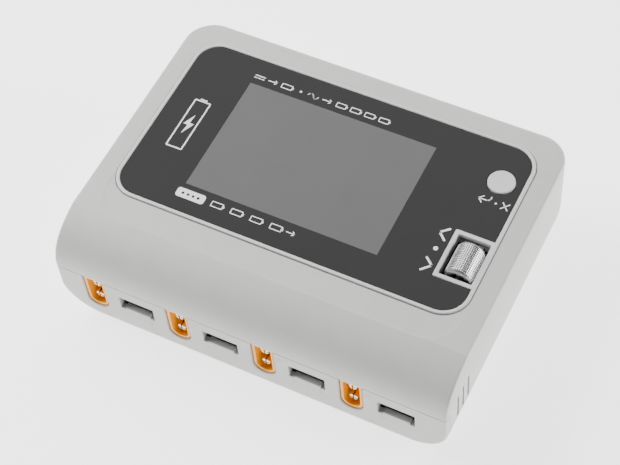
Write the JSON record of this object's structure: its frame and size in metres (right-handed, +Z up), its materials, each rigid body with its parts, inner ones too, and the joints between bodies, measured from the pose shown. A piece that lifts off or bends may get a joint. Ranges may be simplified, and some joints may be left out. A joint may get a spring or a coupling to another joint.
{
  "type": "balance battery charger",
  "caption": "Desk-top balance charger with output channels along its front, a flat deck with a colour display, a roller and an exit button, and inlets and a fan at the rear.",
  "frame": {"origin": "middle of the footprint, on the surface that the feet stand on", "axes": "+Z up, +X to the right seen from the front, +Y from the output panel to the rear panel"},
  "size_m": [0.149, 0.1106, 0.0466],
  "materials": {
    "casing": "fine satin texture, warm light grey",
    "bezel": "smooth satin light grey",
    "lens": "smooth dark tinted acrylic",
    "screen": "unlit grey display behind the lens",
    "orange_plastic": "moulded nylon, slightly glossy orange-yellow",
    "gold": "gold-plated brass",
    "black_plastic": "matte black moulding",
    "steel": "polished and knurled metal",
    "circuit_board": "green solder mask",
    "aluminium": "extruded aluminium",
    "ferrite": "sintered ferrite",
    "rubber": "matte black rubber",
    "capacitor_sleeve": "shrunk plastic sleeve"
  },
  "bodies": {
    "casing": {"ac_inlet": "black_plastic", "ac_pin_left": "steel", "ac_pin_right": "steel", "balance_pins_1": "gold", "balance_pins_2": "gold", "balance_pins_3": "gold", "balance_pins_4": "gold", "balance_socket_1": "black_plastic", "balance_socket_2": "black_plastic", "balance_socket_3": "black_plastic", "balance_socket_4": "black_plastic", "bulk_capacitor": "capacitor_sleeve", "button_switch": "black_plastic", "case_screw_1": "steel", "case_screw_2": "steel", "case_screw_3": "steel", "case_screw_4": "steel", "control_board": "circuit_board", "dc_input_pin_left": "gold", "dc_input_pin_right": "gold", "dc_input_socket": "orange_plastic", "display_bezel": "bezel", "display_lens": "lens", "fan_frame": "black_plastic", "heat_sink": "aluminium", "insulation_sheet": "black_plastic", "lcd_module": "screen", "lower_case": "casing", "main_board": "circuit_board", "output_board": "circuit_board", "output_pin_lower_1": "gold", "output_pin_lower_2": "gold", "output_pin_lower_3": "gold", "output_pin_lower_4": "gold", "output_pin_upper_1": "gold", "output_pin_upper_2": "gold", "output_pin_upper_3": "gold", "output_pin_upper_4": "gold", "output_socket_1": "orange_plastic", "output_socket_2": "orange_plastic", "output_socket_3": "orange_plastic", "output_socket_4": "orange_plastic", "power_inductor_1": "ferrite", "power_inductor_2": "ferrite", "power_inductor_3": "ferrite", "power_inductor_4": "ferrite", "ribbon_cable": "black_plastic", "roller_encoder": "black_plastic", "rubber_foot_1": "rubber", "rubber_foot_2": "rubber", "rubber_foot_3": "rubber", "rubber_foot_4": "rubber", "transformer": "ferrite", "upper_case": "casing"},
    "exit_button": {"exit_button": "bezel", "switch_plunger": "black_plastic"},
    "roller_cradle": {"roller_cradle": "black_plastic"},
    "roller_wheel": {"roller_wheel": "steel", "roller_axle": "steel"},
    "fan_rotor": {"fan_rotor": "black_plastic"}
  },
  "joints": [
    {"name": "exit_button_press", "type": "slide", "parent": "casing", "child": "exit_button", "axis": [0, 0, -1], "range_m": [0, 0.0008], "stiffness_N_per_m": 400, "springref_m": -0.0005},
    {"name": "roller_press", "type": "slide", "parent": "casing", "child": "roller_cradle", "axis": [0, 0, -1], "range_m": [0, 0.0005], "stiffness_N_per_m": 600, "springref_m": -0.0006},
    {"name": "roller_spin", "type": "hinge", "parent": "roller_cradle", "child": "roller_wheel", "pos_m": [0.0594, -0.0058, 0.0415], "axis": [0, 1, 0], "continuous": true},
    {"name": "fan_spin", "type": "hinge", "parent": "casing", "child": "fan_rotor", "pos_m": [-0.03, 0.0475, 0.0215], "axis": [0, 1, 0], "continuous": true}
  ]
}
